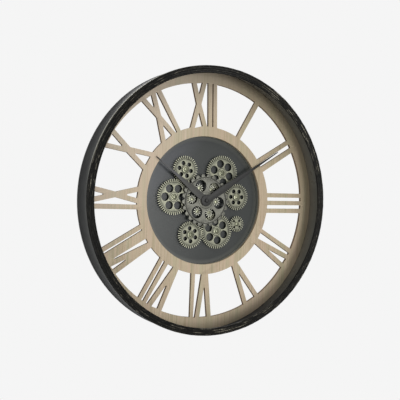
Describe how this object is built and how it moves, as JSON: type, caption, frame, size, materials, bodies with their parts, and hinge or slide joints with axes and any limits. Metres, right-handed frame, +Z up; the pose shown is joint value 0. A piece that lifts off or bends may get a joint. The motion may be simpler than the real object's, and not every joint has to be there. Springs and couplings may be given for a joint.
{
  "type": "wall clock",
  "caption": "Round wall clock with a deep dark rim, open wooden Roman numeral dial, slate centre plate carrying a visible gear train, and long pointed hands.",
  "frame": {"origin": "where the dial's axis meets the wall, on the flat back of the drive cover", "axes": "+Z up, the clock faces -Y, +Y into the wall"},
  "size_m": [0.6, 0.089, 0.6],
  "materials": {
    "rim_paint": "satin dark grey paint on sheet iron",
    "rubbed_black": "black paint with rubbed gold flecks",
    "oak_veneer": "pale greyish oak veneer on fibreboard, brown cut edges",
    "slate_paint": "satin slate grey paint",
    "champagne": "aged champagne-coloured metal",
    "pewter": "aged pewter-coloured metal",
    "charcoal": "matte charcoal paint",
    "bright_steel": "bright zinc-plated steel",
    "black_plastic": "black moulded plastic",
    "brass": "turned brass",
    "white_plastic": "natural white moulded plastic",
    "cell_wrap": "plain printed battery sleeve"
  },
  "bodies": {
    "clock_body": {"rim_band": "rim_paint", "rim_flange": "rim_paint", "front_hoop": "rubbed_black", "numeral_dial": "oak_veneer", "centre_plate": "slate_paint", "plate_spacer": "slate_paint", "bearing_bush": "brass", "movement_bridge": "bright_steel", "gear_motor": "bright_steel", "hanger_plate": "bright_steel", "gear_post_1": "bright_steel", "gear_post_2": "bright_steel", "gear_post_3": "bright_steel", "gear_post_4": "bright_steel", "gear_post_5": "bright_steel", "gear_post_6": "bright_steel", "gear_post_7": "bright_steel", "pinion_stud_1": "bright_steel", "pinion_stud_2": "bright_steel", "pinion_stud_3": "bright_steel", "pinion_stud_4": "bright_steel", "pinion_stud_5": "bright_steel", "pinion_stud_6": "bright_steel", "cover_screw_1": "bright_steel", "cover_screw_2": "bright_steel", "cover_screw_3": "bright_steel", "cover_screw_4": "bright_steel", "quartz_movement": "black_plastic", "battery_tray": "black_plastic", "drive_housing": "black_plastic", "back_cover": "black_plastic", "clock_battery": "cell_wrap", "gear_battery": "cell_wrap"},
    "centre_drive": {"drive_sleeve": "bright_steel", "sun_gear": "champagne", "face_wheel": "pewter", "drive_gear": "white_plastic"},
    "large_wheel_1": {"large_gear_1": "champagne"},
    "large_wheel_2": {"large_gear_2": "champagne"},
    "large_wheel_3": {"large_gear_3": "champagne"},
    "medium_wheel_1": {"medium_gear_1": "champagne"},
    "medium_wheel_2": {"medium_gear_2": "champagne"},
    "medium_wheel_3": {"medium_gear_3": "champagne"},
    "small_wheel": {"small_gear": "champagne"},
    "pinion_wheel_1": {"pinion_1": "champagne"},
    "pinion_wheel_2": {"pinion_2": "champagne"},
    "pinion_wheel_3": {"pinion_3": "champagne"},
    "pinion_wheel_4": {"pinion_4": "champagne"},
    "pinion_wheel_5": {"pinion_5": "champagne"},
    "pinion_wheel_6": {"pinion_6": "champagne"},
    "motor_output": {"motor_pinion": "brass"},
    "minute": {"minute_hand": "charcoal", "minute_arbor": "bright_steel", "hand_nut": "charcoal"},
    "hour": {"hour_hand": "charcoal", "hour_pipe": "brass"},
    "setting": {"set_knob": "white_plastic"},
    "lid": {"battery_door": "black_plastic"},
    "switch": {"gear_switch": "white_plastic"}
  },
  "joints": [
    {"name": "centre_drive_spin", "type": "hinge", "parent": "clock_body", "child": "centre_drive", "pos_m": [0, -0.03, 0], "axis": [0, 1, 0], "continuous": true},
    {"name": "large_gear_1_spin", "type": "hinge", "parent": "clock_body", "child": "large_wheel_1", "pos_m": [0.04395, -0.03, 0.06491], "axis": [0, 1, 0], "continuous": true},
    {"name": "large_gear_2_spin", "type": "hinge", "parent": "clock_body", "child": "large_wheel_2", "pos_m": [-0.07818, -0.03, 0.0056], "axis": [0, 1, 0], "continuous": true},
    {"name": "large_gear_3_spin", "type": "hinge", "parent": "clock_body", "child": "large_wheel_3", "pos_m": [0.03424, -0.03, -0.07051], "axis": [0, 1, 0], "continuous": true},
    {"name": "medium_gear_1_spin", "type": "hinge", "parent": "clock_body", "child": "medium_wheel_1", "pos_m": [0.08551, -0.03, 0.01035], "axis": [0, 1, 0], "continuous": true},
    {"name": "medium_gear_2_spin", "type": "hinge", "parent": "clock_body", "child": "medium_wheel_2", "pos_m": [-0.05171, -0.03, 0.06888], "axis": [0, 1, 0], "continuous": true},
    {"name": "medium_gear_3_spin", "type": "hinge", "parent": "clock_body", "child": "medium_wheel_3", "pos_m": [-0.03379, -0.03, -0.07922], "axis": [0, 1, 0], "continuous": true},
    {"name": "small_gear_spin", "type": "hinge", "parent": "clock_body", "child": "small_wheel", "pos_m": [0.08892, -0.03, -0.05327], "axis": [0, 1, 0], "continuous": true},
    {"name": "pinion_1_spin", "type": "hinge", "parent": "clock_body", "child": "pinion_wheel_1", "pos_m": [0.01739, -0.03, 0.02569], "axis": [0, 1, 0], "continuous": true},
    {"name": "pinion_2_spin", "type": "hinge", "parent": "clock_body", "child": "pinion_wheel_2", "pos_m": [-0.01355, -0.03, 0.02791], "axis": [0, 1, 0], "continuous": true},
    {"name": "pinion_3_spin", "type": "hinge", "parent": "clock_body", "child": "pinion_wheel_3", "pos_m": [-0.03095, -0.03, 0.00222], "axis": [0, 1, 0], "continuous": true},
    {"name": "pinion_4_spin", "type": "hinge", "parent": "clock_body", "child": "pinion_wheel_4", "pos_m": [-0.01739, -0.03, -0.02569], "axis": [0, 1, 0], "continuous": true},
    {"name": "pinion_5_spin", "type": "hinge", "parent": "clock_body", "child": "pinion_wheel_5", "pos_m": [0.01355, -0.03, -0.02791], "axis": [0, 1, 0], "continuous": true},
    {"name": "pinion_6_spin", "type": "hinge", "parent": "clock_body", "child": "pinion_wheel_6", "pos_m": [0.03095, -0.03, -0.00222], "axis": [0, 1, 0], "continuous": true},
    {"name": "motor_spin", "type": "hinge", "parent": "clock_body", "child": "motor_output", "pos_m": [0.042, -0.03, 0], "axis": [0, 1, 0], "continuous": true},
    {"name": "minute_spin", "type": "hinge", "parent": "clock_body", "child": "minute", "pos_m": [0, -0.03, 0], "axis": [0, 1, 0], "continuous": true},
    {"name": "hour_spin", "type": "hinge", "parent": "clock_body", "child": "hour", "pos_m": [0, -0.03, 0], "axis": [0, 1, 0], "continuous": true},
    {"name": "set_knob_spin", "type": "hinge", "parent": "clock_body", "child": "setting", "pos_m": [0, -0.03, 0.016], "axis": [0, 1, 0], "continuous": true},
    {"name": "battery_door_hinge", "type": "hinge", "parent": "clock_body", "child": "lid", "pos_m": [-0.02705, 0, -0.0289], "axis": [0, 0, 1], "range_deg": [0, 110]},
    {"name": "gear_switch_slide", "type": "slide", "parent": "clock_body", "child": "switch", "axis": [1, 0, 0], "range_m": [0, 0.004]}
  ],
  "couplings": [
    {"joint": "large_gear_1_spin", "follows": "centre_drive_spin", "ratio": 0.58333},
    {"joint": "large_gear_2_spin", "follows": "centre_drive_spin", "ratio": 0.58333},
    {"joint": "large_gear_3_spin", "follows": "centre_drive_spin", "ratio": 0.58333},
    {"joint": "medium_gear_1_spin", "follows": "centre_drive_spin", "ratio": -0.77778},
    {"joint": "medium_gear_2_spin", "follows": "centre_drive_spin", "ratio": -0.77778},
    {"joint": "medium_gear_3_spin", "follows": "centre_drive_spin", "ratio": -0.77778},
    {"joint": "small_gear_spin", "follows": "centre_drive_spin", "ratio": -1.3333},
    {"joint": "pinion_1_spin", "follows": "centre_drive_spin", "ratio": -2.8},
    {"joint": "pinion_2_spin", "follows": "centre_drive_spin", "ratio": -2.8},
    {"joint": "pinion_3_spin", "follows": "centre_drive_spin", "ratio": -2.8},
    {"joint": "pinion_4_spin", "follows": "centre_drive_spin", "ratio": -2.8},
    {"joint": "pinion_5_spin", "follows": "centre_drive_spin", "ratio": -2.8},
    {"joint": "pinion_6_spin", "follows": "centre_drive_spin", "ratio": -2.8},
    {"joint": "motor_spin", "follows": "centre_drive_spin", "ratio": -5},
    {"joint": "hour_spin", "follows": "minute_spin", "ratio": 0.083333},
    {"joint": "set_knob_spin", "follows": "minute_spin", "ratio": -1}
  ]
}
